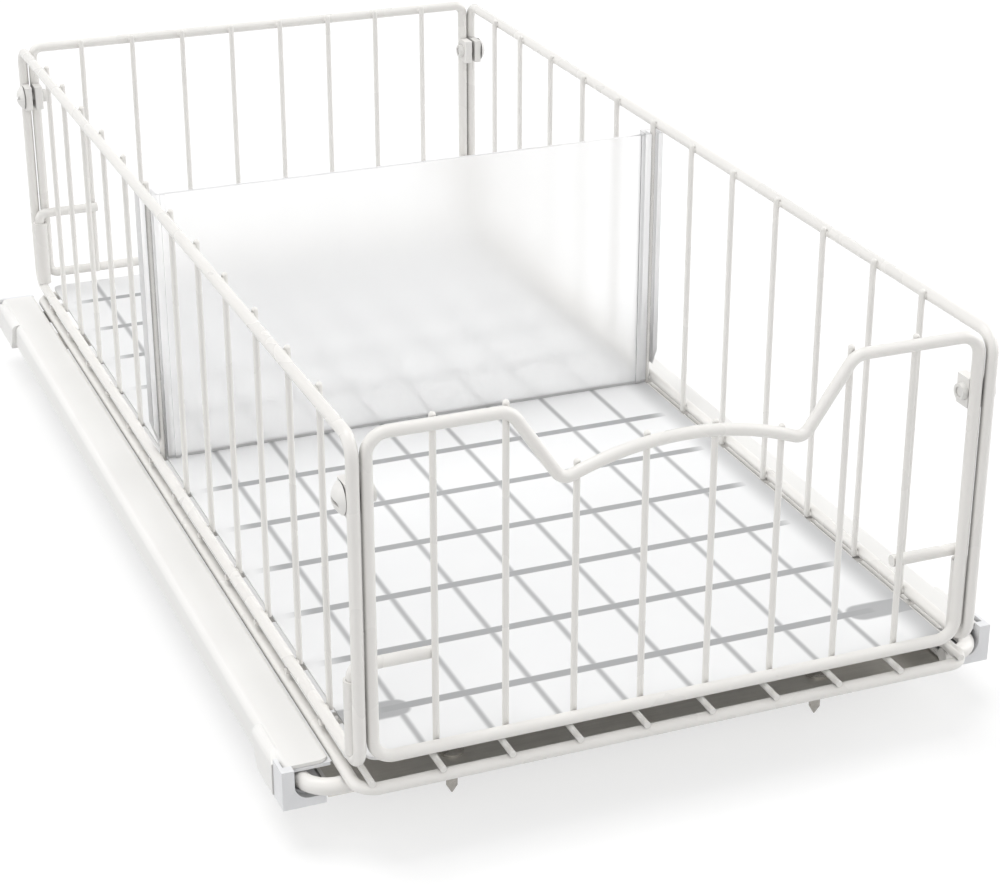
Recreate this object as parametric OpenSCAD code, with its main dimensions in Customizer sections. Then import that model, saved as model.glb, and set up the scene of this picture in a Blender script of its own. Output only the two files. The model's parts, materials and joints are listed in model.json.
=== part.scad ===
// Pull-out wire basket for a kitchen cabinet: a welded basket with a clamped
// front and back, a liner and a clip-in divider, running on two floor rails.
// X is across, -Y is the front, +Z is up. The origin is on the cabinet floor,
// in the middle of the four fixing screws.

/* [Wire] */
// Diameter of the frame wire
frame_d = 4.2; // [3.6:0.1:4.4]
// Diameter of the thin grid and bar wire
thin_d = 2.26; // [1.8:0.02:2.6]
// Diameter of the runner rods
runner_d = 5.8; // [5.0:0.1:6.0]
// How far one wire sinks into another at a weld
weld = 0.15; // [0.1:0.05:0.3]
// How far the layers of the base sink into each other
layer_weld = 0.06; // [0.05:0.01:0.2]

/* [Basket] */
// Half the distance between the bar planes of the two sides
side_bars_x = 107.85; // [100:0.05:116]
// Half the distance between the front and the back bar planes
end_bars_y = 231.1; // [215:0.1:245]
// Number of bars in the front and in the back
bar_count = 8; // [6:2:10]
// Number of bars in each side
side_count = 12; // [9:1:13]
// First side bar, behind the front bars, and the last before the back bars
side_first = 36; // [30:0.2:40]
// Distance from the outermost side bar to the next one
side_end_pitch = 32.2; // [28:0.2:36]
// How far back from the middle the inner side bars are centred
side_shift = 0.5; // [-1:0.1:1]
// Height of the top wire of the sides
side_top_z = 134.7; // [125:0.1:150]
// Height of the top wire of the front and back
end_top_z = 135.3; // [125:0.1:150]
// Height of the bottom wire of the front
front_bottom_z = 22.8; // [22.2:0.1:24]
// Height of the bottom wire of the back
back_bottom_z = 25.3; // [23:0.1:27]
// Centreline radius of the frames' corners
frame_r = 7; // [5:0.5:8]
// Centreline radius of the back frame's corners
back_r = 4; // [3.5:0.5:7]

/* [Handle dip in the front] */
// Half the distance between the shoulders of the dip
shoulder_x = 59.8; // [57:0.1:64]
// Half the distance between the lowest points of the dip
dip_x = 42.2; // [38:0.1:45]
// How far the lowest points are below the top wire
dip_drop = 26.2; // [25:0.1:30]
// How far the arch between them is below the top wire
arch_drop = 17.5; // [17:0.1:18]
// Slope of the arch at its ends, in degrees
arch_slope = 20.7; // [20.2:0.1:21]
// Centreline radius at the lowest points
dip_r = 4.5; // [3.5:0.1:4.5]

/* [Base] */
// Height of the base loop
base_z = 12.6; // [12.5:0.1:13.5]
// Distance between neighbouring cross wires
cross_pitch = 36.85; // [30:0.05:40]
// Thickness of the liner
liner_t = 1; // [0.8:0.1:1.2]

/* [Rails] */
// From the side bars' plane to the inner edge of a rail
rail_step = 6.65; // [6.4:0.05:7]
// Width of a rail
rail_w = 16.1; // [15.9:0.1:17]
// Height of a rail
rail_h = 12.7; // [12.5:0.1:14]
// Sheet thickness of the rails and cross bars
sheet_t = 1.2; // [1:0.1:1.2]
// Width of a cross bar
bar_w = 18.7; // [17:0.1:22]
// Spacing of the fixing screws across the cabinet
screw_gap_x = 138.4; // [100:0.2:160]
// Length of a fixing screw below its head
screw_l = 16; // [12:1:20]

/* [Clamps and sockets] */
// How far the clamps are below the top wire
clamp_drop = 21.5; // [18:0.5:30]
// Height of a clamp half
clamp_h = 10.5; // [10:0.1:12]
// Height of the hooks of the front
front_hook_z = 53.8; // [45:0.1:60]
// Height of the hooks of the back
back_hook_z = 57.5; // [45:0.1:65]
// Outer diameter of a socket tube
socket_d = 6.2; // [5.8:0.1:6.4]

/* [Divider] */
// Wall thickness of the divider
divider_t = 1.8; // [1.4:0.1:2]
// Depth of the channels at the divider's ends
divider_depth = 8; // [7:0.1:9]
// How far the divider's top is below the sides' top wires
divider_drop = 0.8; // [0.5:0.1:20]
// Number of the side bar that the divider is clipped on, from the front
divider_bar = 6; // [2:1:6]

/* [Clearances] */
// Gap round a part that slides
slide_gap = 0.35; // [0.3:0.01:0.4]
// Gap round a part that is only held
rest_gap = 0.1; // [0.05:0.01:0.15]

/* [Hidden] */
$fn = 48;
cut = 0.5;                       // how far a cutter runs past a face
bend_lap = 0.2;                  // how far straight wire runs into a bend
lap_play = 0.03;                 // and how much thinner it is there
frame_rad = frame_d / 2;
thin_rad = thin_d / 2;
runner_rad = runner_d / 2;
bar_step = frame_rad + thin_rad - weld;         // bar plane to frame wire
bar_above = 1.5;                                // bar end over the wire's middle
bar_root = 1;                                   // bar end under the wire's middle
end_frame_y = end_bars_y + bar_step;
end_half_w = side_bars_x - 1.55;                // end verticals of the front and back
side_frame_x = side_bars_x + bar_step;
side_end_y = end_frame_y + 0.8;                 // end uprights of the sides
bar_pitch = 2 * side_bars_x / (bar_count + 1);
bars_x = [for (i = [0 : bar_count - 1]) (i - (bar_count - 1) / 2) * bar_pitch];
side_last_y = end_bars_y - side_first;
side_pitch = 2 * (side_last_y - side_end_pitch) / (side_count - 3);
dip_z = end_top_z - dip_drop;
arch_z = end_top_z - arch_drop;
arch_vertex_z = dip_z + dip_x * tan(arch_slope);
arch_r = (arch_vertex_z - arch_z) / (1 / cos(arch_slope) - 1);
base_half_w = side_bars_x + 3.75;
base_half_l = end_bars_y + 4.5;
base_r = 7;                                     // corner radius of the base loop
long_over = 2;                                  // long wires past the loop's middle
cross_over = 1.2;                               // cross wires past the loop's middle
cross_count = floor(2 * base_half_l / cross_pitch);
long_z = base_z + frame_rad + thin_rad - layer_weld;  // long wires on the base loop
cross_z = long_z + thin_d - layer_weld;         // cross wires on the long ones
side_bottom_z = cross_z + thin_rad + frame_rad - layer_weld;
long_x = [for (i = [0 : bar_count + 1]) (i - (bar_count + 1) / 2) * bar_pitch];
liner_z = cross_z + thin_rad + 0.05;
liner_top = liner_z + liner_t;
liner_gap = 0.35;                               // liner to the bars round it
liner_r = 4;
stay_front_y = -end_bars_y + 41.5;
stay_rear_y = end_bars_y - 12.7;
stay_over = 2.4;                                // stay past the outer long wire
runner_weld = 0.5;
runner_x = side_bars_x + 16.65;
runner_z = base_z - frame_rad - runner_rad + runner_weld;
runner_front_y = -end_bars_y + 8.8;             // front cross part of a runner
runner_rear_y = end_bars_y - 10.2;              // rear cross part of a runner
runner_r = 10;                                  // bend radius of a runner
runner_in_x = base_half_w - 1.4;                // inner ends of a runner
slider_l = 32;
slider_in = 3;                                  // slider to the rear bend
slider_r = 1.8;
groove_w = 1.5;
groove_depth = 0.6;
rail_in_x = side_bars_x + rail_step;
rail_out_x = rail_in_x + rail_w;
rail_front_y = -end_bars_y + 16.5;
rail_rear_y = end_bars_y + 5.4;
rail_top = sheet_t + rail_h;
rail_r = 1.7;                                   // outer bend radius of a rail
rail_top_r = 2.9;                               // the same, outer top bend
lip_h = 2.4;
flange_r = 4;                                   // front corner of the top flange
lip_back = 9;                                   // the lip's setback at the front
wing_out = 1.9;                                 // proud part at the rails' ends
wing_front_l = 29.2;
wing_rear_l = 36;
plug_r = rail_top_r - sheet_t;
face_t = 3.5;                                   // front guide's face plate
face_gap = 0.3;
cheek_l = 9.6;
cheek_t = 1.3;
plug_l = 24;
screw_y = end_bars_y - 25.1;
screw_rad = 2;
screw_neck = screw_rad + 0.5;                    // plain neck in the cross bar's hole
screw_play = 0.25;                              // round the neck
screw_head_r = 4.2;
screw_head_h = 2.4;
screw_tip = 3;
bar_in = 8.9;                                   // screws to the cross bar's inner edge
bar_tab = 11;                                   // cross bar's width under the rails
bar_mid_x = rail_in_x + 1.3;                    // where the cross bar gets narrower
hook_step = thin_rad + frame_rad - weld;        // bar plane to hook wire
hook_y = end_bars_y - hook_step;
hook_r = 3.2;
socket_x = side_bars_x + 2.55;
socket_drop = 4.4;                              // socket top under the hook wire
socket_floor = 0.8;
socket_bottom = side_bottom_z + frame_rad - weld;
clamp_z = end_top_z - clamp_drop;
clamp_y = end_frame_y - 4.3;                    // screw axis of the clamps
clamp_l = 4.7;                                  // screw axis to the clamp's inner face
clamp_gap_x = side_bars_x + 0.95;               // split between the clamp halves
clamp_split = 0.7;                              // half the split
clamp_out_x = side_bars_x + 4.85;
clamp_in_x = side_bars_x - 3.25;
clamp_edge_r = 0.6;
clamp_boss_h = 0.45;
clamp_boss_r = 2.6;
clamp_shank_r = 1.75;
clamp_head_r = 5.5;
clamp_head_h = 2.8;
nut_l = 2.1;
nut_rad = 2.9;
divider_z0 = liner_top + slide_gap;
divider_top_z = side_top_z - frame_rad - divider_drop;
divider_face = 2.4;                             // wall's front face ahead of its bar
divider_in_x = side_bars_x - 1.65;              // slot for the bar, inner face
divider_out_x = side_bars_x + 1.6;              // slot for the bar, outer face
divider_rib = [side_bars_x - 6.45, side_bars_x - 4.45];
rib_out = 0.8;
toe_out = [side_bars_x + 3.55, divider_z0 + 14];      // slanted lower end of the outer leg
toe_in = [side_bars_x - 0.65, divider_z0 + 0.5];

// ---------------------------------------------------------------- helpers

// Straight rod of diameter d from point a to point b along one axis
module rod(a, b, d) {
    v = b - a;
    turn = abs(v.x) > 0 ? [0, 90, 0] : abs(v.y) > 0 ? [-90, 0, 0] : [0, 0, 0];
    start = (v.x + v.y + v.z) > 0 ? a : b;
    translate(start) rotate(turn) cylinder(h = norm(v), d = d);
}

// Signed turn from heading h0 to heading h1, in degrees
function turn_of(h0, h1) = (h1 - h0 + 540) % 360 - 180;
function heading(p, q) = atan2(q.y - p.y, q.x - p.x);
function at(list, i) = list[(i + len(list)) % len(list)];
function turn_at(pts, i) =
    turn_of(heading(at(pts, i - 1), at(pts, i)), heading(at(pts, i), at(pts, i + 1)));
function trim_at(pts, radii, i) = at(radii, i) * tan(abs(turn_at(pts, i)) / 2);

// Closed loop of wire in the XY plane, through pts with rounded corners
module wire_loop(pts, radii, d) {
    for (i = [0 : len(pts) - 1]) {
        p = pts[i];
        q = at(pts, i + 1);
        h = heading(p, q);
        t0 = trim_at(pts, radii, i);
        t1 = trim_at(pts, radii, i + 1);
        translate([p.x, p.y, 0]) rotate([0, 0, h]) translate([t0 - bend_lap, 0, 0]) rotate([0, 90, 0])
            cylinder(h = norm(q - p) - t0 - t1 + 2 * bend_lap, d = d - lap_play);
        wire_bend(q, h, turn_at(pts, i + 1), at(radii, i + 1), d);
    }
}

// Bend of radius r round corner q, reached on heading h and turning by t
module wire_bend(q, h, t, r, d) {
    side = t > 0 ? 1 : -1;
    trim = r * tan(abs(t) / 2);
    centre = q - trim * [cos(h), sin(h)] + side * r * [-sin(h), cos(h)];
    from = t > 0 ? h - 90 : h + 90 + t;
    translate([centre.x, centre.y, 0]) rotate([0, 0, from])
        rotate_extrude(angle = abs(t)) translate([r, 0]) circle(d = d);
}

module rect_loop(x, y0, y1, r, d) {
    wire_loop([[-x, y0], [x, y0], [x, y1], [-x, y1]], [r, r, r, r], d);
}

// Stands a shape drawn in XY upright in the XZ plane at y
module upright_x(y) {
    translate([0, y, 0]) rotate([90, 0, 0]) children();
}

// Stands a shape drawn in XY upright in the YZ plane at x
module upright_y(x) {
    translate([x, 0, 0]) rotate([90, 0, 90]) children();
}

// The same part on the left (-1) or on the right (+1); it is drawn on the right
module on_side(s) {
    if (s > 0) children();
    else mirror([1, 0, 0]) children();
}

// The same part at the front (-1) or at the back (+1); it is drawn at the back
module at_end(e) {
    if (e > 0) children();
    else mirror([0, 1, 0]) children();
}

// Rounded square profile from lower corner a to upper corner b
module round_rect(a, b, r) {
    translate([a.x + r, a.y]) square([b.x - a.x - 2 * r, b.y - a.y]);
    translate([a.x, a.y + r]) square([b.x - a.x, b.y - a.y - 2 * r]);
    for (x = [a.x + r, b.x - r], y = [a.y + r, b.y - r]) translate([x, y]) circle(r);
}

// Prism of an XZ profile between y0 and y1
module along_y(y0, y1) {
    translate([0, y1, 0]) rotate([90, 0, 0]) linear_extrude(y1 - y0) children();
}

// ---------------------------------------------------------------- basket

// Place of side bar i, counted from the front
function side_bar_y(i) =
    i == 0 ? -side_last_y
    : i == side_count - 1 ? side_last_y
    : side_shift + (i - (side_count - 1) / 2) * side_pitch;

module base_grid() {
    color("ivory") union() {
        translate([0, 0, base_z]) rect_loop(base_half_w, -base_half_l, base_half_l, base_r, frame_d);
        for (x = long_x)
            rod([x, -base_half_l - long_over, long_z], [x, base_half_l + long_over, long_z], thin_d);
        for (i = [1 : cross_count]) cross_wire(-base_half_l + i * cross_pitch);
        for (s = [-1, 1]) on_side(s) {
            corner_stay(stay_front_y);
            corner_stay(stay_rear_y);
        }
    }
}

module cross_wire(y) {
    rod([-base_half_w - cross_over, y, cross_z], [base_half_w + cross_over, y, cross_z], thin_d);
}

// Short stay of frame wire from the base loop in under the outer long wires
module corner_stay(y) {
    rod([bars_x[bar_count - 1] - stay_over, y, base_z], [base_half_w, y, base_z], frame_d);
}

module runner() {
    color("ivory") union() {
        rod([runner_x, runner_front_y + runner_r, runner_z],
            [runner_x, runner_rear_y - runner_r, runner_z], runner_d);
        for (end = [[runner_front_y, -1], [runner_rear_y, 1]]) {
            rod([runner_in_x, end[0], runner_z], [runner_x - runner_r, end[0], runner_z], runner_d);
            translate([runner_x - runner_r, end[0] - end[1] * runner_r, runner_z])
                rotate([0, 0, end[1] > 0 ? 0 : -90])
                    rotate_extrude(angle = 90) translate([runner_r, 0]) circle(d = runner_d);
        }
    }
}
module left_runner() { on_side(-1) runner(); }
module right_runner() { on_side(1) runner(); }

// Plastic block on the rear of a runner, sliding inside the rail
module slider() {
    y1 = runner_rear_y - runner_r - slider_in;
    y0 = y1 - slider_l;
    in_x = rail_in_x + sheet_t + slide_gap;
    out_x = rail_out_x - sheet_t - slide_gap;
    z0 = sheet_t * 2 + slide_gap;
    z1 = rail_h - slide_gap;
    color("gainsboro") difference() {
        along_y(y0, y1) round_rect([in_x, z0], [out_x, z1], slider_r);
        rod([runner_x, y0 - cut, runner_z], [runner_x, y1 + cut, runner_z], runner_d + 2 * rest_gap);
        // relief grooves across the top and the outer face
        for (i = [1 : 3]) translate([in_x - cut, y0 + i * slider_l / 4 - groove_w / 2, z1 - groove_depth])
            cube([out_x - in_x + 2 * cut, groove_w, groove_depth + cut]);
        for (i = [1 : 3]) translate([out_x - groove_depth, y0 + i * slider_l / 4 - groove_w / 2, z0 - cut])
            cube([groove_depth + cut, groove_w, z1 - z0 + 2 * cut]);
    }
}
module left_slider() { on_side(-1) slider(); }
module right_slider() { on_side(1) slider(); }

module side_panel() {
    color("ivory") union() {
        upright_y(side_frame_x) wire_loop(
            [[-side_end_y, side_bottom_z], [side_end_y, side_bottom_z],
            [side_end_y, side_top_z], [-side_end_y, side_top_z]],
            [frame_r, frame_r, frame_r, frame_r], frame_d);
        for (i = [0 : side_count - 1]) {
            y = side_bar_y(i);
            bar_end([side_bars_x, y, side_bottom_z - bar_root], [side_bars_x, y, side_top_z + bar_above]);
        }
    }
}
module left_side() { on_side(-1) side_panel(); }
module right_side() { on_side(1) side_panel(); }

// Upright bar with a rounded upper end
module bar_end(a, b) {
    rod(a, b, thin_d);
    translate(b) sphere(d = thin_d);
}

// Height of the front's top wire at distance x from the middle
function front_wire_z(x) = abs(x) > dip_x ? end_top_z : arch_z - arch_r + sqrt(arch_r * arch_r - x * x);

// Wire hook at height z that drops into a socket, drawn at the back right
module hook(z) {
    rod([bars_x[bar_count - 1] - thin_rad, hook_y, z], [socket_x - hook_r, hook_y, z], frame_d);
    upright_x(hook_y) wire_bend([socket_x, z], 0, -90, hook_r, frame_d);
    rod([socket_x, hook_y, socket_bottom + bar_root], [socket_x, hook_y, z - hook_r], frame_d);
}

module front_panel() {
    w = end_half_w;
    color("ivory") union() {
        upright_x(-end_frame_y) wire_loop([[-w, front_bottom_z], [w, front_bottom_z], [w, end_top_z],
            [shoulder_x, end_top_z], [dip_x, dip_z], [0, arch_vertex_z], [-dip_x, dip_z],
            [-shoulder_x, end_top_z], [-w, end_top_z]],
            [frame_r, frame_r, frame_r, frame_r, dip_r, arch_r, dip_r, frame_r, frame_r], frame_d);
        for (x = bars_x)
            bar_end([x, -end_bars_y, front_bottom_z - bar_root],
                [x, -end_bars_y, front_wire_z(x) + bar_above]);
        for (s = [-1, 1]) on_side(s) at_end(-1) hook(front_hook_z);
    }
}

module back_panel() {
    color("ivory") union() {
        upright_x(end_frame_y) rect_loop(end_half_w, back_bottom_z, end_top_z, back_r, frame_d);
        for (x = bars_x)
            bar_end([x, end_bars_y, back_bottom_z - bar_root], [x, end_bars_y, end_top_z + bar_above]);
        for (s = [-1, 1]) on_side(s) hook(back_hook_z);
    }
}

module floor_liner() {
    x = side_bars_x - thin_rad - liner_gap;
    y = end_bars_y - thin_rad - liner_gap;
    color("white") translate([0, 0, liner_z]) linear_extrude(liner_t) round_rect([-x, -y], [x, y], liner_r);
}

// Tube on the side's bottom wire that takes the leg of a hook at height z
module socket(z) {
    top = z - socket_drop;
    color("ivory") difference() {
        translate([socket_x, hook_y, socket_bottom]) cylinder(h = top - socket_bottom, d = socket_d);
        translate([socket_x, hook_y, socket_bottom + socket_floor])
            cylinder(h = top - socket_bottom, d = frame_d + 2 * rest_gap);
    }
}
module front_left_socket() { on_side(-1) at_end(-1) socket(front_hook_z); }
module front_right_socket() { on_side(1) at_end(-1) socket(front_hook_z); }
module back_left_socket() { on_side(-1) at_end(1) socket(back_hook_z); }
module back_right_socket() { on_side(1) at_end(1) socket(back_hook_z); }

// ---------------------------------------------------------------- corner clamps

// Block between x0 and x1 whose end is hollowed for the wire at wire_x, wire_y
module clamp_block(x0, x1, wire_x, wire_y) {
    z0 = clamp_z - clamp_h / 2;
    difference() {
        translate([0, 0, z0]) linear_extrude(clamp_h)
            round_rect([x0, clamp_y - clamp_l], [x1, wire_y], clamp_edge_r);
        translate([wire_x, wire_y, z0 - cut]) cylinder(h = clamp_h + 2 * cut, d = frame_d + 2 * rest_gap);
        rod([x0 - cut, clamp_y, clamp_z], [x1 + cut, clamp_y, clamp_z], 2 * (clamp_shank_r + rest_gap));
    }
}

module clamp_outer() {
    color("whitesmoke") union() {
        clamp_block(clamp_gap_x + clamp_split, clamp_out_x, side_frame_x, side_end_y);
        difference() {
            rod([clamp_out_x - clamp_boss_h, clamp_y, clamp_z],
                [clamp_out_x + clamp_boss_h, clamp_y, clamp_z], 2 * clamp_boss_r);
            rod([clamp_out_x - 2 * clamp_boss_h, clamp_y, clamp_z],
                [clamp_out_x + 2 * clamp_boss_h, clamp_y, clamp_z], 2 * (clamp_shank_r + rest_gap));
        }
    }
}

module clamp_inner() {
    color("whitesmoke") clamp_block(clamp_in_x, clamp_gap_x - clamp_split, end_half_w, end_frame_y);
}
module front_left_clamp_outer() { on_side(-1) at_end(-1) clamp_outer(); }
module front_left_clamp_inner() { on_side(-1) at_end(-1) clamp_inner(); }
module front_right_clamp_outer() { on_side(1) at_end(-1) clamp_outer(); }
module front_right_clamp_inner() { on_side(1) at_end(-1) clamp_inner(); }
module back_left_clamp_outer() { on_side(-1) at_end(1) clamp_outer(); }
module back_left_clamp_inner() { on_side(-1) at_end(1) clamp_inner(); }
module back_right_clamp_outer() { on_side(1) at_end(1) clamp_outer(); }
module back_right_clamp_inner() { on_side(1) at_end(1) clamp_inner(); }

// Clamp screw with a domed slotted head, drawn at the back right
module clamp_screw() {
    dome_r = (clamp_head_r * clamp_head_r + clamp_head_h * clamp_head_h) / (2 * clamp_head_h);
    head_x = clamp_out_x + clamp_boss_h;
    slot_w = 1.3;
    slot_depth = 1.1;
    translate([head_x, clamp_y, clamp_z]) rotate([0, 90, 0]) difference() {
        union() {
            intersection() {
                translate([0, 0, clamp_head_h - dome_r]) sphere(r = dome_r, $fn = 96);
                cylinder(h = clamp_head_h + 1, r = clamp_head_r - 0.1, $fn = 96);
            }
            translate([0, 0, clamp_in_x - nut_l - head_x + cut])
                cylinder(h = head_x - clamp_in_x + nut_l - cut + 0.2, r = clamp_shank_r);
        }
        rotate([0, 0, 77]) translate([-clamp_head_r - 1, -slot_w / 2, clamp_head_h - slot_depth])
            cube([2 * clamp_head_r + 2, slot_w, slot_depth + 1]);
    }
}

module clamp_screws() {
    color("gainsboro") for (s = [-1, 1], e = [-1, 1]) on_side(s) at_end(e) clamp_screw();
}

// Round nut against the inner half
module clamp_nut() {
    difference() {
        rod([clamp_in_x - nut_l, clamp_y, clamp_z], [clamp_in_x, clamp_y, clamp_z], 2 * nut_rad);
        rod([clamp_in_x - nut_l - cut, clamp_y, clamp_z], [clamp_in_x + cut, clamp_y, clamp_z],
            2 * clamp_shank_r + 0.06);
    }
}

module clamp_nuts() {
    color("gainsboro") for (s = [-1, 1], e = [-1, 1]) on_side(s) at_end(e) clamp_nut();
}

// ---------------------------------------------------------------- divider

// Half of the divider's plan, drawn on the right: a flat wall with a rib, and at
// its end a channel, open to the front, round the side bar
module divider_plan() {
    t = divider_t;
    y0 = side_bar_y(divider_bar) - divider_face;
    y1 = y0 + divider_depth;
    out_x = toe_out.x;
    translate([-cut, y0]) square([divider_in_x + cut, t]);
    translate([divider_rib[0], y0 - rib_out]) square([divider_rib[1] - divider_rib[0], rib_out + t]);
    translate([divider_in_x - t, y0]) square([t, divider_depth]);
    translate([divider_in_x - t, y1 - t]) square([out_x - divider_in_x + t, t]);
    translate([divider_out_x, y0]) square([out_x - divider_out_x, divider_depth]);
}

// Cuts the lower end of the outer leg at a slant, clear of the side's bottom wire
module divider_toe_cut() {
    y = side_bar_y(divider_bar);
    far_x = toe_out.x + 5;
    along_y(y - divider_depth, y + divider_depth)
        polygon([[toe_in.x, divider_z0 - 1], [far_x, divider_z0 - 1], [far_x, toe_out.y], toe_out, toe_in]);
}

module divider() {
    color("white") for (s = [-1, 1]) on_side(s) difference() {
        translate([0, 0, divider_z0]) linear_extrude(divider_top_z - divider_z0) divider_plan();
        divider_toe_cut();
    }
}

// ---------------------------------------------------------------- rails

// Rounded rectangle whose upper outer corner has the larger radius big_r
module top_rounded(a, b, r, big_r) {
    difference() {
        round_rect(a, b, r);
        translate([b.x - big_r, b.y - big_r]) square(big_r + cut);
    }
    translate([b.x - big_r, b.y - big_r]) circle(big_r);
}

module rail_profile() {
    difference() {
        top_rounded([rail_in_x, sheet_t], [rail_out_x, rail_top], rail_r, rail_top_r);
        top_rounded([rail_in_x + sheet_t, 2 * sheet_t], [rail_out_x - sheet_t, rail_h],
            rail_r - sheet_t, rail_top_r - sheet_t);
        translate([rail_in_x - cut, sheet_t + lip_h]) square([sheet_t + 2 * cut, rail_h - 2 * lip_h]);
    }
}

// Rounds the front corner of the top flange and sets the upper lip back
module flange_cut() {
    y = rail_front_y;
    translate([0, 0, rail_h - lip_h]) linear_extrude(sheet_t + lip_h + cut) difference() {
        translate([rail_in_x - cut, y - cut]) square(flange_r + cut);
        translate([rail_in_x + flange_r, y + flange_r]) circle(flange_r);
    }
    translate([rail_in_x - cut, y - cut, rail_top - lip_h - cut])
        cube([sheet_t + cut, lip_back + cut, lip_h - sheet_t + cut]);
}

// Section of a wing on the rail's outer face
module wing_profile() {
    foot_z = 0.4;
    foot_r = 0.5;
    top_rounded([rail_out_x - sheet_t, foot_z], [rail_out_x + wing_out, rail_top], foot_r, rail_top_r);
}

// Outline of a wing from the side; y0 is its far end, y1 its end at the rail's mouth
module wing_outline(y0, y1) {
    slant = [4, 4];                                // back from y0 and height at the kink
    foot = 6.3;                                    // back from y0 at the bottom
    nose = [6.8, 2];                               // chamfer of the upper front corner
    polygon([[y0, rail_top + cut], [y0 - slant[0], slant[1]], [y0 - foot, 0], [y1, 0],
        [y1, rail_top - nose[1]], [y1 + nose[0], rail_top], [y1 + nose[0], rail_top + cut]]);
}

// Proud wing pressed out of the rail's outer face, drawn at the front right
module wing(y0, y1) {
    difference() {
        intersection() {
            along_y(y1, y0) wing_profile();
            translate([rail_out_x - 2 * sheet_t, 0, 0]) rotate([90, 0, 90])
                linear_extrude(wing_out + 3 * sheet_t) wing_outline(y0, y1);
        }
        // the rail's own inside stays free
        along_y(y1 - cut, y0 + cut) top_rounded([rail_in_x + sheet_t, 2 * sheet_t],
            [rail_out_x - sheet_t, rail_h], rail_r - sheet_t, rail_top_r - sheet_t);
    }
}

module rail() {
    color("ivory") union() {
        difference() {
            along_y(rail_front_y, rail_rear_y) rail_profile();
            flange_cut();
        }
        wing(rail_front_y + wing_front_l, rail_front_y + cheek_l - face_t + rest_gap);
        mirror([0, 1, 0]) wing(-rail_rear_y + wing_rear_l, -rail_rear_y);
    }
}
module left_rail() { on_side(-1) rail(); }
module right_rail() { on_side(1) rail(); }

// Flat cross bar under the rails; its ends are narrower than its middle
module cross_bar(end) {
    inner_y = end * (screw_y - bar_in);           // edge towards the middle
    y0 = end > 0 ? inner_y : inner_y - bar_w;
    tab_y0 = end > 0 ? inner_y : inner_y - bar_tab;
    tab_x = rail_out_x - 2;
    color("silver") difference() {
        union() {
            translate([-bar_mid_x, y0, 0]) cube([2 * bar_mid_x, bar_w, sheet_t]);
            translate([-tab_x, tab_y0, 0]) cube([2 * tab_x, bar_tab, sheet_t]);
        }
        for (x = [-1, 1] * screw_gap_x / 2) translate([x, end * screw_y, -cut])
            cylinder(h = sheet_t + 2 * cut, r = screw_neck + screw_play);
    }
}
module front_cross_bar() { cross_bar(-1); }
module rear_cross_bar() { cross_bar(1); }

// Pan-head fixing screw with a plain neck through the bar and a pointed end
module mounting_screw() {
    dome_r = 6;
    cross_w = 1;
    cross_l = 4.4;
    cross_depth = 1.3;
    tip_r = 0.3;
    lap = 0.1;
    tip_z = sheet_t - screw_l;
    difference() {
        union() {
            translate([0, 0, sheet_t]) intersection() {
                translate([0, 0, screw_head_h - dome_r]) sphere(r = dome_r, $fn = 96);
                cylinder(h = screw_head_h, r = screw_head_r);
            }
            cylinder(h = sheet_t + lap, r = screw_neck);
            translate([0, 0, tip_z + screw_tip]) cylinder(h = lap - tip_z - screw_tip, r = screw_rad);
            translate([0, 0, tip_z]) cylinder(h = screw_tip, r1 = tip_r, r2 = screw_rad);
        }
        for (a = [0, 90]) translate([0, 0, sheet_t + screw_head_h - cross_depth]) rotate([0, 0, a])
            translate([-cross_l / 2, -cross_w / 2, 0]) cube([cross_l, cross_w, cross_depth + cut]);
    }
}

module mounting_screws() {
    color("silver") for (x = [-1, 1] * screw_gap_x / 2, y = [-1, 1] * screw_y)
        translate([x, y, 0]) mounting_screw();
}

// Front guide: plugs into the rail, with an open way for the rod
module front_guide() {
    way_x = runner_x + runner_rad + slide_gap;     // inner face of the outer wall
    way_r = runner_rad + slide_gap;
    way_z = runner_z - way_r;                      // floor under the rod
    face_way_r = 5;
    face_way_z = 3.2;
    plate_in = 2.7;                                // plate's inner edge from the rail's
    top_over = 0.3;
    in_x = rail_in_x + plate_in;
    out_x = rail_out_x + rest_gap + cheek_t;
    face_y = rail_front_y - face_t - face_gap;
    top_z = rail_top + top_over;
    roof_z = runner_z + runner_rad + slide_gap;    // underside of the roof over the rod
    color("lightgray") union() {
        // face plate, in front of the rail's end
        difference() {
            translate([in_x, face_y, 0]) cube([out_x - in_x, face_t, top_z]);
            guide_way(face_y, face_y + face_t, way_x, face_way_z, in_x, face_way_r);
        }
        // plug inside the rail
        difference() {
            along_y(rail_front_y - face_gap - cut, rail_front_y + plug_l)
                round_rect([in_x, 2 * sheet_t + rest_gap],
                    [rail_out_x - sheet_t - rest_gap, rail_h - rest_gap], plug_r);
            guide_way(rail_front_y - 1, rail_front_y + plug_l, way_x, way_z, in_x, way_r);
        }
        // roof over the rod, under the rail's top flange
        translate([rail_in_x - 0.1, rail_front_y - 0.1, roof_z])
            cube([way_x + 0.5 - rail_in_x, lip_back - 0.5, rail_h - rest_gap - roof_z]);
        // cheek outside the rail
        translate([rail_out_x + rest_gap, face_y, 0]) cube([cheek_t, cheek_l, top_z]);
    }
}

// Way for the rod: open at the top and towards the middle, round at the bottom
module guide_way(y0, y1, wall_x, floor_z, in_x, r) {
    along_y(y0 - cut, y1 + cut) {
        translate([in_x - 2, floor_z + r]) square([wall_x - in_x + 2, rail_top]);
        translate([in_x - 2, floor_z]) square([wall_x - r - in_x + 2, r + 1]);
        translate([wall_x - r, floor_z + r]) circle(r);
    }
}
module left_front_guide() { on_side(-1) front_guide(); }
module right_front_guide() { on_side(1) front_guide(); }

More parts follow.
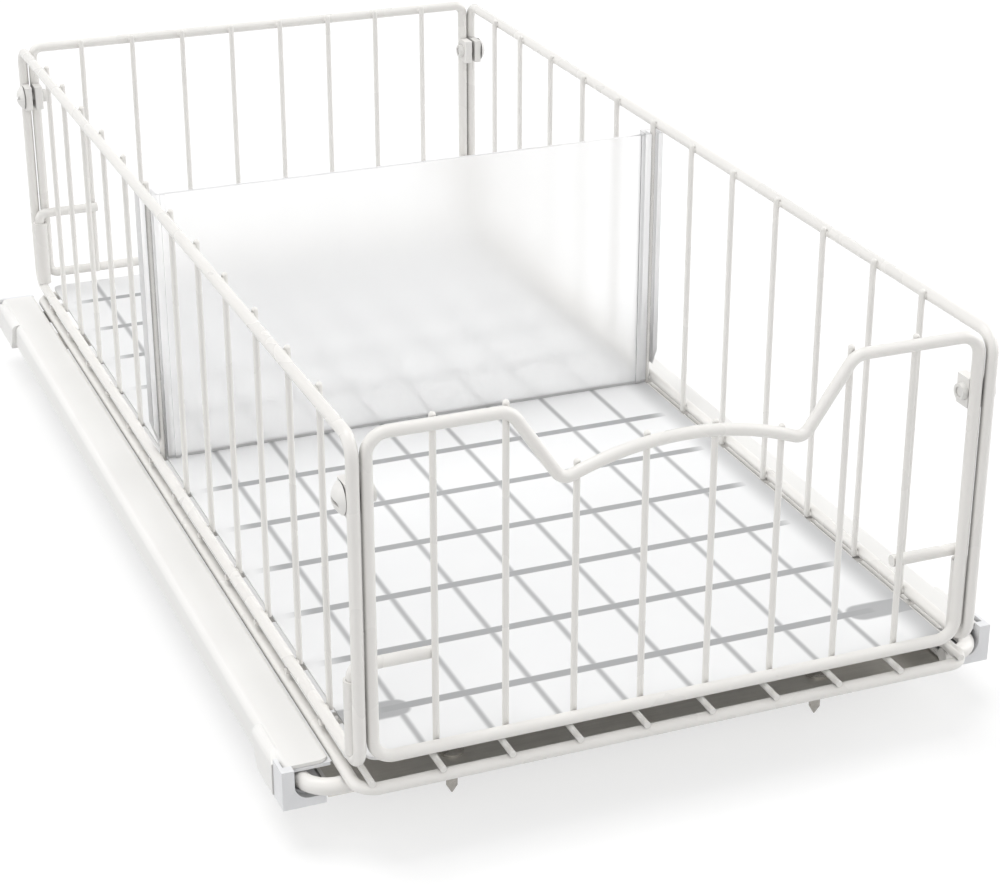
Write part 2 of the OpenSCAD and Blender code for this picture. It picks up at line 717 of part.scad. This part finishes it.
// Rear cap: back plate and a plug inside the rail
module rear_cap() {
    plate_t = 2;
    plug_in = 8;
    color("ivory") union() {
        along_y(rail_rear_y, rail_rear_y + plate_t)
            round_rect([rail_in_x, 0.2], [rail_out_x + wing_out, rail_top], 1);
        along_y(rail_rear_y - plug_in, rail_rear_y + 0.2)
            round_rect([rail_in_x + sheet_t + rest_gap, 2 * sheet_t + rest_gap],
                [rail_out_x - sheet_t - rest_gap, rail_h - rest_gap], plug_r);
    }
}
module left_rear_cap() { on_side(-1) rear_cap(); }
module right_rear_cap() { on_side(1) rear_cap(); }

// ---------------------------------------------------------------- output

left_rail();
right_rail();
front_cross_bar();
rear_cross_bar();
left_front_guide();
right_front_guide();
left_rear_cap();
right_rear_cap();
mounting_screws();
base_grid();
left_runner();
right_runner();
left_slider();
right_slider();
left_side();
right_side();
front_panel();
back_panel();
floor_liner();
front_left_socket();
front_right_socket();
back_left_socket();
back_right_socket();
front_left_clamp_outer();
front_left_clamp_inner();
front_right_clamp_outer();
front_right_clamp_inner();
back_left_clamp_outer();
back_left_clamp_inner();
back_right_clamp_outer();
back_right_clamp_inner();
clamp_screws();
clamp_nuts();
divider();
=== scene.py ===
import json
import math

import bmesh
import bpy
from mathutils import Matrix, Vector


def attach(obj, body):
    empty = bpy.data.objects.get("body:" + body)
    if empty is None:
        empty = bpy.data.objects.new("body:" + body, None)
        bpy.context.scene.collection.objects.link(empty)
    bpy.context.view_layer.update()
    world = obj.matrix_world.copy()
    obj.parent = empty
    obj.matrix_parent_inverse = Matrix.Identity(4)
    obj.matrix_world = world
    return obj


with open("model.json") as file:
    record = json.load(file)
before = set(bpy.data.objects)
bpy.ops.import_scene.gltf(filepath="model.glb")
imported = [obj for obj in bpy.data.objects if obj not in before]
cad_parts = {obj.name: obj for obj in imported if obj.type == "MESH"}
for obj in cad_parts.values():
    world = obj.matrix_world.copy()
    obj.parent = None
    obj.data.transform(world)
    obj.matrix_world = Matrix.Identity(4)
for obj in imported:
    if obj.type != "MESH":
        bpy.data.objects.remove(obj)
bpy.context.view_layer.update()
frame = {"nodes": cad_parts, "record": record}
nodes = frame["nodes"]

# The looks of the pull-out cabinet basket: finishes for the CAD nodes, weld beads, camera, floor and lamps.
# Lengths are in metres, in the CAD frame: the front is at -Y, and z = 0 is the cabinet floor.
MM = 0.001

# ------------------------------------------------------------------ sizes, as in the part's source
SIDE_BARS_X = 107.85 * MM                        # half the distance between the sides' planes of bars
END_BARS_Y = 231.1 * MM                          # the same for the front and the back
END_BARS = 8                                     # bars in the front and in the back
SIDE_BARS = 12                                   # bars in each side
BAR_PITCH = 2 * SIDE_BARS_X / (END_BARS + 1)     # of the end bars and of the long wires of the base
SIDE_FIRST = 36 * MM                             # from the end bars' plane to the outermost side bar
SIDE_END_PITCH = 32.2 * MM                       # from there to the next one
SIDE_SHIFT = 0.5 * MM                            # how far back from the middle the inner ones are centred
THIN_RAD = 1.13 * MM                             # of the bars
WELD = 0.15 * MM                                 # how far one wire sinks into another
SIDE_LOW = 21.14 * MM                            # bottom and top wires of the sides
SIDE_HIGH = 134.7 * MM
FRONT_LOW = 22.8 * MM                            # bottom wires of the front and the back
BACK_LOW = 25.3 * MM
END_HIGH = 135.3 * MM                            # top wires of both
DIP_HALF = 60 * MM                               # half the width of the handle dip
CROSS_PITCH = 36.85 * MM                         # of the cross wires of the base
FIRST_CROSS = -END_BARS_Y - 4.5 * MM             # the base loop's front wire, from where they are counted
STAY_Y = -END_BARS_Y + 41.5 * MM                 # front corner stays of the base
DIVIDER_FOOT = 20.5 * MM

# ------------------------------------------------------------------ painted shade of wires under the liner
# Cross wires and stays are moved to the front and long wires to the left, as the photo shows them through
# the sheet. The lower one is, the further it is moved.
CROSS_SHIFT = 3.6 * MM
LONG_SHIFT = 3.0 * MM
STAY_SHIFT = 13.0 * MM
STAY_END = 88 * MM                               # centre of a stay's round end, from the middle
# Each is darkest up to the first distance from its middle line and gone past the second.
CROSS_EDGE = (1.65 * MM, 2.35 * MM)
LONG_EDGE = (0.2 * MM, 1.9 * MM)
STAY_EDGE = (4.6 * MM, 6.2 * MM)
CROSS_DARK = 1.0
LONG_DARK = 0.86
STAY_DARK = 0.9
RIGHT_SHADE_DARK = (0.66, 0.42)                         # painted shade along the liner's right edge, over the base's right wire, at its front and its back
SHOW_THROUGH = 0.97                              # share of the bands' colour where they are darkest
WOBBLE = 0.12 * MM                               # how far the bands stray from straight
GRID_FADE = (91 * MM, 104 * MM)                  # where the grid fades out, from the middle
RIGHT_SHADE_RISE = (94 * MM, 104 * MM)                  # where the painted shade along the right edge comes in

# ------------------------------------------------------------------ values that several materials share
CORE = (0.35, 0.65)                              # the middle of a noise's range, for clear patches
WIDE = (0.3, 0.7)                                # a little more of it, for softer ones
WORN_EDGES = (0.53, 0.62)                        # in pointiness, where a flat place has 0.5
# painted shade in gaps and corners, found with an ambient occlusion node
CREVICE_REACH = 4 * MM
CREVICE_RANGE = (0.12, 0.72)                     # in openness, where a free place has 1
CREVICE_SAMPLES = 6
PAINTED_GAP_SHADE = 0.30
MIX_INPUTS = (0, 6, 7)                           # factor and the two colours, among a mix node's sockets
MIX_RESULT = 2


def shade(colour, factor):
    return tuple(min(1.0, c * factor) for c in colour) + (1.0,)


def grey(value):
    return (value, value, value, 1.0)


# ------------------------------------------------------------------ node trees
class Tree:
    """A cleared node tree, with short calls that add and link nodes."""

    def __init__(self, owner, output="ShaderNodeOutputMaterial"):
        owner.use_nodes = True
        self.tree = owner.node_tree
        self.tree.nodes.clear()
        self.output = self.add(output)

    def add(self, kind, **settings):
        node = self.tree.nodes.new(kind)
        for key, value in settings.items():
            setattr(node, key, value)
        return node

    def put(self, socket, value):
        """Links another node's output or sets a value. None leaves the socket as it is."""
        if isinstance(value, bpy.types.NodeSocket):
            self.tree.links.new(value, socket)
        elif value is not None:
            socket.default_value = value

    def calc(self, operation, a, b=None):
        node = self.add("ShaderNodeMath", operation=operation)
        self.put(node.inputs[0], a)
        self.put(node.inputs[1], b)
        return node.outputs[0]

    def shader(self, kind, **values):
        """Adds a shader. Its sockets are named with _ for each space."""
        node = self.add(kind)
        for key, value in values.items():
            self.put(node.inputs[key.replace("_", " ")], value)
        return node.outputs[0]

    def join(self, kind, *inputs):
        """Adds a node that joins shaders, and fills its sockets in their order."""
        node = self.add(kind)
        for socket, value in zip(node.inputs, inputs):
            self.put(socket, value)
        return node.outputs[0]

    def lit_or_seen(self, lit, seen):
        """`seen` for camera, glossy and transmission rays, and `lit` for all others."""
        path = self.add("ShaderNodeLightPath").outputs
        sees = self.calc("MAXIMUM", path["Is Camera Ray"], path["Is Glossy Ray"])
        sees = self.calc("MAXIMUM", sees, path["Is Transmission Ray"])
        return self.join("ShaderNodeMixShader", sees, lit, seen)

    def close(self, surface):
        self.put(self.output.inputs["Surface"], surface)


class Finish(Tree):
    """A material of the part, with textures that are placed on the object."""

    def __init__(self, name):
        self.material = bpy.data.materials.new(name)
        super().__init__(self.material)
        self.place = self.add("ShaderNodeTexCoord").outputs["Object"]

    def stretched(self, stretch):
        node = self.add("ShaderNodeMapping")
        self.put(node.inputs["Vector"], self.place)
        self.put(node.inputs["Scale"], stretch)
        return node.outputs[0]

    def noise(self, scale, detail, rough=0.5, stretch=(1, 1, 1)):
        node = self.add("ShaderNodeTexNoise")
        self.put(node.inputs["Vector"], self.stretched(stretch))
        self.put(node.inputs["Scale"], scale)
        self.put(node.inputs["Detail"], detail)
        self.put(node.inputs["Roughness"], rough)
        return node.outputs["Fac"]

    def crystals(self, scale):
        """One random tone for each cell of a crystal pattern."""
        cells = self.add("ShaderNodeTexVoronoi")
        self.put(cells.inputs["Vector"], self.place)
        self.put(cells.inputs["Scale"], scale)
        tone = self.add("ShaderNodeSeparateColor")
        self.put(tone.inputs[0], cells.outputs["Color"])
        return tone.outputs[0]

    def axis(self, name, vector=None):
        """One coordinate of a vector, or else of the place on the object."""
        node = self.add("ShaderNodeSeparateXYZ")
        self.put(node.inputs[0], self.place if vector is None else vector)
        return node.outputs[name]

    def spread(self, value, low, high, from_low=0.0, from_high=1.0, smooth=False):
        """`low` up to from_low and `high` past from_high, even or smooth between them."""
        node = self.add("ShaderNodeMapRange", interpolation_type="SMOOTHSTEP" if smooth else "LINEAR")
        self.put(node.inputs["Value"], value)
        self.put(node.inputs["From Min"], from_low)
        self.put(node.inputs["From Max"], from_high)
        self.put(node.inputs["To Min"], low)
        self.put(node.inputs["To Max"], high)
        return node.outputs["Result"]

    def mix(self, amount, base, colour):
        """`base` where amount is 0, and `colour` where it is 1."""
        node = self.add("ShaderNodeMix", data_type="RGBA")
        for socket, value in zip(MIX_INPUTS, (amount, base, colour)):
            self.put(node.inputs[socket], value)
        return node.outputs[MIX_RESULT]

    def peaks(self, texture, amount, start, full):
        """`amount` where a texture is past `full`, and 0 where it is under `start`."""
        return self.spread(texture, 0.0, amount, start, full)

    def tone(self, texture, colour, dark, light):
        """The colour in two shades of itself, blended by a texture."""
        return self.mix(self.spread(texture, 0.0, 1.0, *CORE), shade(colour, dark), shade(colour, light))

    def bump(self, height, depth, strength, under=None):
        node = self.add("ShaderNodeBump")
        self.put(node.inputs["Strength"], strength)
        self.put(node.inputs["Distance"], depth)
        self.put(node.inputs["Height"], height)
        self.put(node.inputs["Normal"], under)
        return node.outputs["Normal"]

    def wear(self, amount):
        """`amount` on sharp outer edges, 0 elsewhere."""
        edges = self.add("ShaderNodeNewGeometry").outputs["Pointiness"]
        return self.spread(edges, 0.0, amount, *WORN_EDGES, smooth=True)

    def painted_gap_shade(self, amount):
        """Painted shade: `amount` deep in gaps and corners, where shade falls, 0 in the open."""
        near = self.add("ShaderNodeAmbientOcclusion", samples=CREVICE_SAMPLES)
        self.put(near.inputs["Distance"], CREVICE_REACH)
        return self.spread(near.outputs["AO"], amount, 0.0, *CREVICE_RANGE)

    def done(self, **values):
        """Closes the tree with a Principled shader and gives the material."""
        self.close(self.shader("ShaderNodeBsdfPrincipled", **values))
        return self.material


# ------------------------------------------------------------------ materials
def powder_coat(name, colour, rough):
    """Sprayed coating: orange peel, slow changes of tone and gloss, specks, rubbed edges, painted shade in
    gaps.
    """
    m = Finish(name)
    slow = m.noise(scale=26, detail=3)
    specks = m.peaks(m.noise(scale=420, detail=4), amount=0.12, start=0.60, full=0.74)
    base = m.tone(slow, colour, dark=0.975, light=1.012)
    base = m.mix(specks, base, shade(colour, 0.95))
    base = m.mix(m.wear(0.35), base, shade(colour, 0.86))
    # painted shade: darker deep in gaps and corners
    base = m.mix(m.painted_gap_shade(0.75), base, shade(colour, PAINTED_GAP_SHADE))
    peel = m.bump(m.noise(scale=1100, detail=2, rough=0.45), depth=0.007 * MM, strength=0.8)
    grain = m.noise(scale=5200, detail=2, rough=0.6)
    return m.done(Base_Color=base,
                  Roughness=m.spread(slow, rough - 0.03, rough + 0.04, *CORE),
                  Normal=m.bump(grain, depth=0.0025 * MM, strength=0.6, under=peel),
                  Specular_IOR_Level=0.45)


def moulded(name, colour, rough=0.5, grain_scale=2600, grain_depth=0.012 * MM):
    """Moulded plastic: spark texture, faint flow marks, specks, lighter rubbed edges, painted shade in
    gaps.
    """
    m = Finish(name)
    flow = m.noise(scale=34, detail=4, rough=0.6, stretch=(1.0, 0.35, 1.0))
    specks = m.peaks(m.noise(scale=900, detail=3), amount=0.35, start=0.62, full=0.75)
    base = m.tone(flow, colour, dark=0.965, light=1.015)
    base = m.mix(specks, base, shade(colour, 0.93))
    base = m.mix(m.wear(0.4), base, shade(colour, 1.06))
    # painted shade: darker deep in gaps and corners
    base = m.mix(m.painted_gap_shade(0.7), base, shade(colour, PAINTED_GAP_SHADE))
    waves = m.bump(flow, depth=0.06 * MM, strength=0.25)
    grain = m.noise(scale=grain_scale, detail=3, rough=0.6)
    return m.done(Base_Color=base,
                  Roughness=m.spread(flow, rough - 0.05, rough + 0.07, *CORE),
                  Normal=m.bump(grain, depth=grain_depth, strength=0.7, under=waves),
                  Specular_IOR_Level=0.4)


def zinc(name, colour, rough=0.38, spangle=240):
    """Zinc plating: crystal patches, streaks along x, brighter rubbed edges."""
    m = Finish(name)
    streaks = m.noise(scale=700, detail=3, stretch=(0.06, 1.0, 1.0))
    crystals = m.peaks(m.crystals(spangle), amount=0.6, start=0.0, full=1.0)
    base = m.mix(crystals, shade(colour, 0.9), shade(colour, 1.08))
    base = m.mix(m.peaks(streaks, amount=0.4, start=0.4, full=0.7), base, shade(colour, 0.8))
    base = m.mix(m.wear(0.5), base, shade(colour, 1.25))
    return m.done(Base_Color=base,
                  Metallic=0.85,
                  Roughness=m.spread(streaks, rough - 0.08, rough + 0.12, *WIDE),
                  Normal=m.bump(streaks, depth=0.01 * MM, strength=0.5))


def bands(m, place, pitch, edge, dark):
    """Soft bands along the lines where `place` is a multiple of the pitch."""
    to_line = m.calc("PINGPONG", place, pitch / 2)
    return m.spread(to_line, dark, 0.0, *edge, smooth=True)


def front_stay_shade(m, x, y):
    """Painted shade of the two front corner stays under the liner, with a round end towards the middle."""
    along = m.calc("SUBTRACT", y, STAY_Y - STAY_SHIFT)
    before_end = m.calc("MAXIMUM", m.calc("SUBTRACT", STAY_END, m.calc("ABSOLUTE", x)), 0.0)
    square = m.calc("ADD", m.calc("POWER", along, 2.0), m.calc("POWER", before_end, 2.0))
    return m.spread(m.calc("SQRT", square), STAY_DARK, 0.0, *STAY_EDGE, smooth=True)


def painted_wire_shade(m):
    """Painted shade of the base's wires seen through the liner: crisp cross wires, softer long ones, stays,
    right edge.
    """
    x, y = m.axis("X"), m.axis("Y")
    wobble = m.spread(m.noise(scale=60, detail=2), -WOBBLE, WOBBLE)
    from_cross = m.calc("ADD", y, m.calc("ADD", wobble, CROSS_SHIFT - FIRST_CROSS))
    from_long = m.calc("ADD", x, m.calc("ADD", wobble, LONG_SHIFT + BAR_PITCH / 2))
    cross = bands(m, from_cross, CROSS_PITCH, CROSS_EDGE, CROSS_DARK)
    long = bands(m, from_long, BAR_PITCH, LONG_EDGE, LONG_DARK)
    inside = m.spread(m.calc("ABSOLUTE", x), 1.0, 0.0, *GRID_FADE, smooth=True)
    grid = m.calc("MULTIPLY", m.calc("MAXIMUM", cross, long), inside)
    # painted shade along the liner's right edge, darker at the front than at the back
    right_edge = m.spread(x, 0.0, 1.0, *RIGHT_SHADE_RISE, smooth=True)
    right_shade = m.calc("MULTIPLY", right_edge, m.spread(y, *RIGHT_SHADE_DARK, -END_BARS_Y, END_BARS_Y))
    return m.calc("MAXIMUM", m.calc("MAXIMUM", grid, front_stay_shade(m, x, y)), right_shade)


def liner_sheet(name, colour, wire_shade_colour):
    """Milky sheet, with painted shade bands where the wires that it lies on show through."""
    m = Finish(name)
    flow = m.noise(scale=18, detail=3)
    base = m.tone(flow, colour, dark=0.985, light=1.01)
    # painted shade of the wires below, mixed into the sheet's colour
    base = m.mix(m.calc("MULTIPLY", painted_wire_shade(m), SHOW_THROUGH), base, (*wire_shade_colour, 1.0))
    waves = m.bump(flow, depth=0.2 * MM, strength=0.15)
    return m.done(Base_Color=base,
                  Roughness=m.spread(m.noise(scale=140, detail=4), 0.34, 0.48, *WIDE),
                  Normal=m.bump(m.noise(scale=2200, detail=2), depth=0.005 * MM, strength=0.6, under=waves),
                  Specular_IOR_Level=0.35)


END_FACES = (0.6, 0.8)                           # in the normal's x, from where a face counts as an end and gets painted shade
# heights over which the painted contact shadow along the bottom edge fades out
FOOT_SHADOW_LINE = (DIVIDER_FOOT + 0.6 * MM, DIVIDER_FOOT + 1.4 * MM)
HAZE = (DIVIDER_FOOT, DIVIDER_FOOT + 50 * MM)    # less clear at its foot, fully clear above


def frosted(name, colour):
    """Frosted clear plastic that blurs what is behind it, with painted shade on its end faces and a painted
    contact shadow along its bottom edge.
    """
    m = Finish(name)
    height = m.axis("Z")
    facing = m.add("ShaderNodeNewGeometry").outputs["True Normal"]
    # painted shade on the end faces, and a painted contact shadow along the bottom edge
    end_shade = m.spread(m.calc("ABSOLUTE", m.axis("X", facing)), 0.0, 0.85, *END_FACES)
    foot_shadow = m.spread(height, 0.8, 0.0, *FOOT_SHADOW_LINE)
    flow = m.noise(scale=22, detail=3, stretch=(1.0, 1.0, 0.4))
    base = m.tone(flow, colour, dark=0.995, light=1.005)
    base = m.mix(m.calc("MAXIMUM", end_shade, foot_shadow), base, shade(colour, 0.50))
    clear = m.spread(height, 0.55, 1.0, *HAZE, smooth=True)
    waves = m.bump(flow, depth=0.15 * MM, strength=0.2)
    grain = m.noise(scale=2400, detail=3, rough=0.6)
    return m.done(Base_Color=base,
                  Roughness=m.spread(m.noise(scale=300, detail=3), 0.31, 0.37, *WIDE),
                  Normal=m.bump(grain, depth=0.01 * MM, strength=0.6, under=waves),
                  Transmission_Weight=clear,
                  IOR=1.25,
                  Specular_IOR_Level=0.4)


FINISH = {
    "white_wire": powder_coat("white_wire", (0.91, 0.893, 0.862), rough=0.28),
    "rail_paint": powder_coat("rail_paint", (0.965, 0.957, 0.938), rough=0.40),
    "zinc_steel": zinc("zinc_steel", (0.66, 0.64, 0.60)),
    "screw_steel": zinc("screw_steel", (0.45, 0.43, 0.40), rough=0.32, spangle=900),
    "guide_plastic": moulded("guide_plastic", (0.88, 0.885, 0.90), rough=0.4),
    "slider_plastic": moulded("slider_plastic", (0.88, 0.88, 0.86)),
    "clamp_plastic": moulded("clamp_plastic", (0.90, 0.885, 0.86),
                             grain_scale=1500, grain_depth=0.03 * MM),
    "clamp_screw_finish": powder_coat("clamp_screw_finish", (0.88, 0.87, 0.845), rough=0.38),
    "liner_sheet": liner_sheet("liner_sheet", (0.87, 0.873, 0.877), wire_shade_colour=(0.36, 0.363, 0.37)),
    "divider_plastic": frosted("divider_plastic", (0.995, 0.995, 0.995)),
}
slot_of = {part["node"]: part["material_slot"] for part in frame["record"]["subparts"]}
for name, node in nodes.items():
    node.data.materials.clear()
    node.data.materials.append(FINISH[slot_of[name]])


# ------------------------------------------------------------------ rounded edges
CLAMP_ROUNDING = 0.25 * MM
BAR_ROUNDING = 0.2 * MM
SHARP = math.radians(40)


def soften(name, width):
    """Rounds the sharp edges of a CAD node a little, with a modifier."""
    rounding = nodes[name].modifiers.new("edges", "BEVEL")
    rounding.width = width
    rounding.segments = 2
    rounding.limit_method = "ANGLE"
    rounding.angle_limit = SHARP


for end in ("front", "back"):
    for side in ("left", "right"):
        for half in ("outer", "inner"):
            soften(f"{end}_{side}_clamp_{half}", CLAMP_ROUNDING)
for end in ("front", "rear"):
    soften(f"{end}_cross_bar", BAR_ROUNDING)

# ------------------------------------------------------------------ weld beads
SIDE_BEAD = (0.75 * MM, 1.75 * MM, 1.25 * MM)    # radii along X, Y and Z
END_BEAD = (1.7 * MM, 0.75 * MM, 1.2 * MM)
SIDE_STRAY = (0.35 * MM, 5.1, 900)               # reach, phase from bar to bar, phase per metre of height
END_STRAY = (0.3 * MM, 4.3, 700)


def stray(how, bar, z):
    """How far a bead is off its place along the wire. It differs from bead to bead."""
    reach, per_bar, per_metre = how
    return reach * math.sin(per_bar * bar + per_metre * z)


def side_bar_places():
    """Y of each bar of a side: one near each end, and the others evenly between them."""
    last = END_BARS_Y - SIDE_FIRST
    gaps = SIDE_BARS - 3
    pitch = 2 * (last - SIDE_END_PITCH) / gaps
    return [-last] + [SIDE_SHIFT + (i - gaps / 2) * pitch for i in range(SIDE_BARS - 2)] + [last]


def side_beads():
    """Where the bars of the sides meet the bottom and top wires."""
    for side in (-1, 1):
        x = side * (SIDE_BARS_X + THIN_RAD - WELD)
        for bar, y in enumerate(side_bar_places()):
            for z in (SIDE_LOW, SIDE_HIGH):
                off = stray(SIDE_STRAY, bar, z)
                yield x, y + off, z + off / 2


def end_beads():
    """Where the bars of the front and back meet their frames. The handle dip's top wire has none."""
    for end, low in ((-1, FRONT_LOW), (1, BACK_LOW)):
        y = end * (END_BARS_Y + THIN_RAD - WELD)
        for bar in range(END_BARS):
            x = (bar - (END_BARS - 1) / 2) * BAR_PITCH
            in_dip = end < 0 and abs(x) < DIP_HALF
            for z in [low] if in_dip else [low, END_HIGH]:
                off = stray(END_STRAY, bar, z)
                yield x + off, y, z + off / 2


def weld_beads(name, places, radii):
    """One piece that rides on the basket, with a small rounded blob at each place."""
    bm = bmesh.new()
    for place in places:
        blob = bmesh.ops.create_icosphere(bm, subdivisions=2, radius=1.0)
        squash = Matrix.Diagonal((*radii, 1.0))
        bmesh.ops.transform(bm, verts=blob["verts"], matrix=Matrix.Translation(place) @ squash)
    mesh = bpy.data.meshes.new(name)
    bm.to_mesh(mesh)
    bm.free()
    for polygon in mesh.polygons:
        polygon.use_smooth = True
    mesh.materials.append(FINISH["white_wire"])
    piece = bpy.data.objects.new(name, mesh)
    bpy.context.collection.objects.link(piece)
    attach(piece, "basket")


weld_beads("side_welds", side_beads(), SIDE_BEAD)
weld_beads("end_welds", end_beads(), END_BEAD)

# ------------------------------------------------------------------ floor and surround
FLOOR_Z = -16.5 * MM                             # just under the screws' points
FLOOR_SIZE = 30
FLOOR_GREY = 0.65                                # for the light that it sends up
SHADOW_GREY = 0.43                               # for the shadow that is seen on it
FLOOR_GLOW = 0.625                               # brings the floor that is seen up to white
SURROUND_LIGHT = 0.27                            # strength at which the surround lights the object


def add_floor():
    bpy.ops.mesh.primitive_plane_add(size=FLOOR_SIZE, location=(0, 0, FLOOR_Z))
    floor = bpy.context.object
    floor.name = "floor"
    paint = bpy.data.materials.new("floor")
    floor.data.materials.append(paint)
    tree = Tree(paint)
    lit = tree.shader("ShaderNodeBsdfDiffuse", Color=grey(FLOOR_GREY))
    shadowed = tree.shader("ShaderNodeBsdfDiffuse", Color=grey(SHADOW_GREY))
    glow = tree.shader("ShaderNodeEmission", Strength=FLOOR_GLOW)
    tree.close(tree.lit_or_seen(lit, tree.join("ShaderNodeAddShader", shadowed, glow)))


def add_surround():
    world = bpy.data.worlds.new("world")
    bpy.context.scene.world = world
    tree = Tree(world, "ShaderNodeOutputWorld")
    lit = tree.shader("ShaderNodeBackground", Color=grey(1.0), Strength=SURROUND_LIGHT)
    seen = tree.shader("ShaderNodeBackground", Color=grey(1.0), Strength=1.0)
    tree.close(tree.lit_or_seen(lit, seen))


add_floor()
add_surround()


# ------------------------------------------------------------------ lamps
def sun(name, towards, strength, width):
    """A sun lamp that stands in the direction `towards` and looks `width` degrees wide."""
    data = bpy.data.lights.new(name, "SUN")
    data.energy = strength
    data.angle = math.radians(width)
    lamp = bpy.data.objects.new(name, data)
    bpy.context.collection.objects.link(lamp)
    lamp.rotation_euler = Vector(towards).to_track_quat("Z", "Y").to_euler()


sun("key", (-0.2, 0.2, 1.0), strength=1.35, width=36)
sun("left", (-1.0, 0.0, 0.35), strength=0.75, width=60)
sun("right", (1.0, -0.05, 0.35), strength=1.7, width=60)
sun("front", (-0.3, -1.0, 0.7), strength=0.62, width=50)

# ------------------------------------------------------------------ camera, as fitted to the photo
CAMERA_PLACE = (-0.3137, -0.8535, 0.4284)
CAMERA_TURN = math.radians(22.03)                # to the right of straight on
CAMERA_DIP = math.radians(24.48)                 # below level
CAMERA_LENS = 86.73                              # mm, for a sensor of this width
SENSOR_WIDTH = 36.0
CAMERA_NEAR = 0.01
CAMERA_FAR = 50.0


def add_camera():
    data = bpy.data.cameras.new("camera")
    data.sensor_width = SENSOR_WIDTH
    data.lens = CAMERA_LENS
    data.clip_start = CAMERA_NEAR
    data.clip_end = CAMERA_FAR
    camera = bpy.data.objects.new("camera", data)
    bpy.context.collection.objects.link(camera)
    level = math.cos(CAMERA_DIP)
    ahead = Vector((math.sin(CAMERA_TURN) * level, math.cos(CAMERA_TURN) * level, -math.sin(CAMERA_DIP)))
    camera.location = CAMERA_PLACE
    camera.rotation_euler = ahead.to_track_quat("-Z", "Y").to_euler()
    bpy.context.scene.camera = camera


add_camera()
bpy.context.scene.view_settings.view_transform = "Standard"
